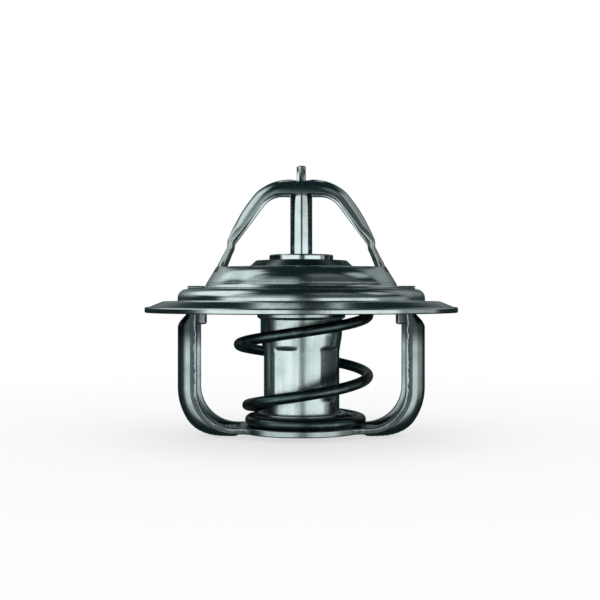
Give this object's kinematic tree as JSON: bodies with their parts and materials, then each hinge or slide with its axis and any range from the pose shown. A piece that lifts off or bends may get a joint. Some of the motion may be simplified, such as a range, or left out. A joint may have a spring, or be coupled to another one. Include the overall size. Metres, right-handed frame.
{
  "type": "engine thermostat",
  "caption": "Engine coolant thermostat: round flange with a ribbed bridge, wax capsule, coil spring and a lower bracket; the valve slides down off its seat to open.",
  "frame": {"origin": "centre of the flange rim's underside, where the rim lands in its housing", "axes": "+Z along the valve axis towards the bridge, X across the two legs of the bridge and of the lower frame"},
  "size_m": [0.048, 0.048, 0.0416],
  "materials": {
    "pressed_steel": "pressed stainless sheet, semi-gloss",
    "frame_steel": "pressed steel sheet, semi-gloss, sheared edges",
    "spring_steel": "blackened wire",
    "polished_steel": "ground and polished",
    "disc_steel": "pressed steel sheet, darkened",
    "capsule_metal": "drawn metal cup, semi-gloss",
    "guide_brass": "turned brass",
    "seal_rubber": "moulded black rubber",
    "wax": "wax with metal powder"
  },
  "bodies": {
    "frame": {"flange_bridge": "pressed_steel", "lower_frame": "frame_steel", "return_spring": "spring_steel", "piston": "polished_steel"},
    "valve": {"valve_disc": "disc_steel", "valve_seal": "seal_rubber", "hub_ring": "polished_steel", "guide_body": "guide_brass", "piston_wiper": "seal_rubber", "capsule_cup": "capsule_metal", "backing_washer": "polished_steel", "rubber_sleeve": "seal_rubber", "wax_charge": "wax"}
  },
  "joints": [
    {"name": "valve_lift", "type": "slide", "parent": "frame", "child": "valve", "axis": [0, 0, -1], "range_m": [0, 0.008], "stiffness_N_per_m": 1200, "springref_m": -0.003, "deforming": ["return_spring"]}
  ]
}
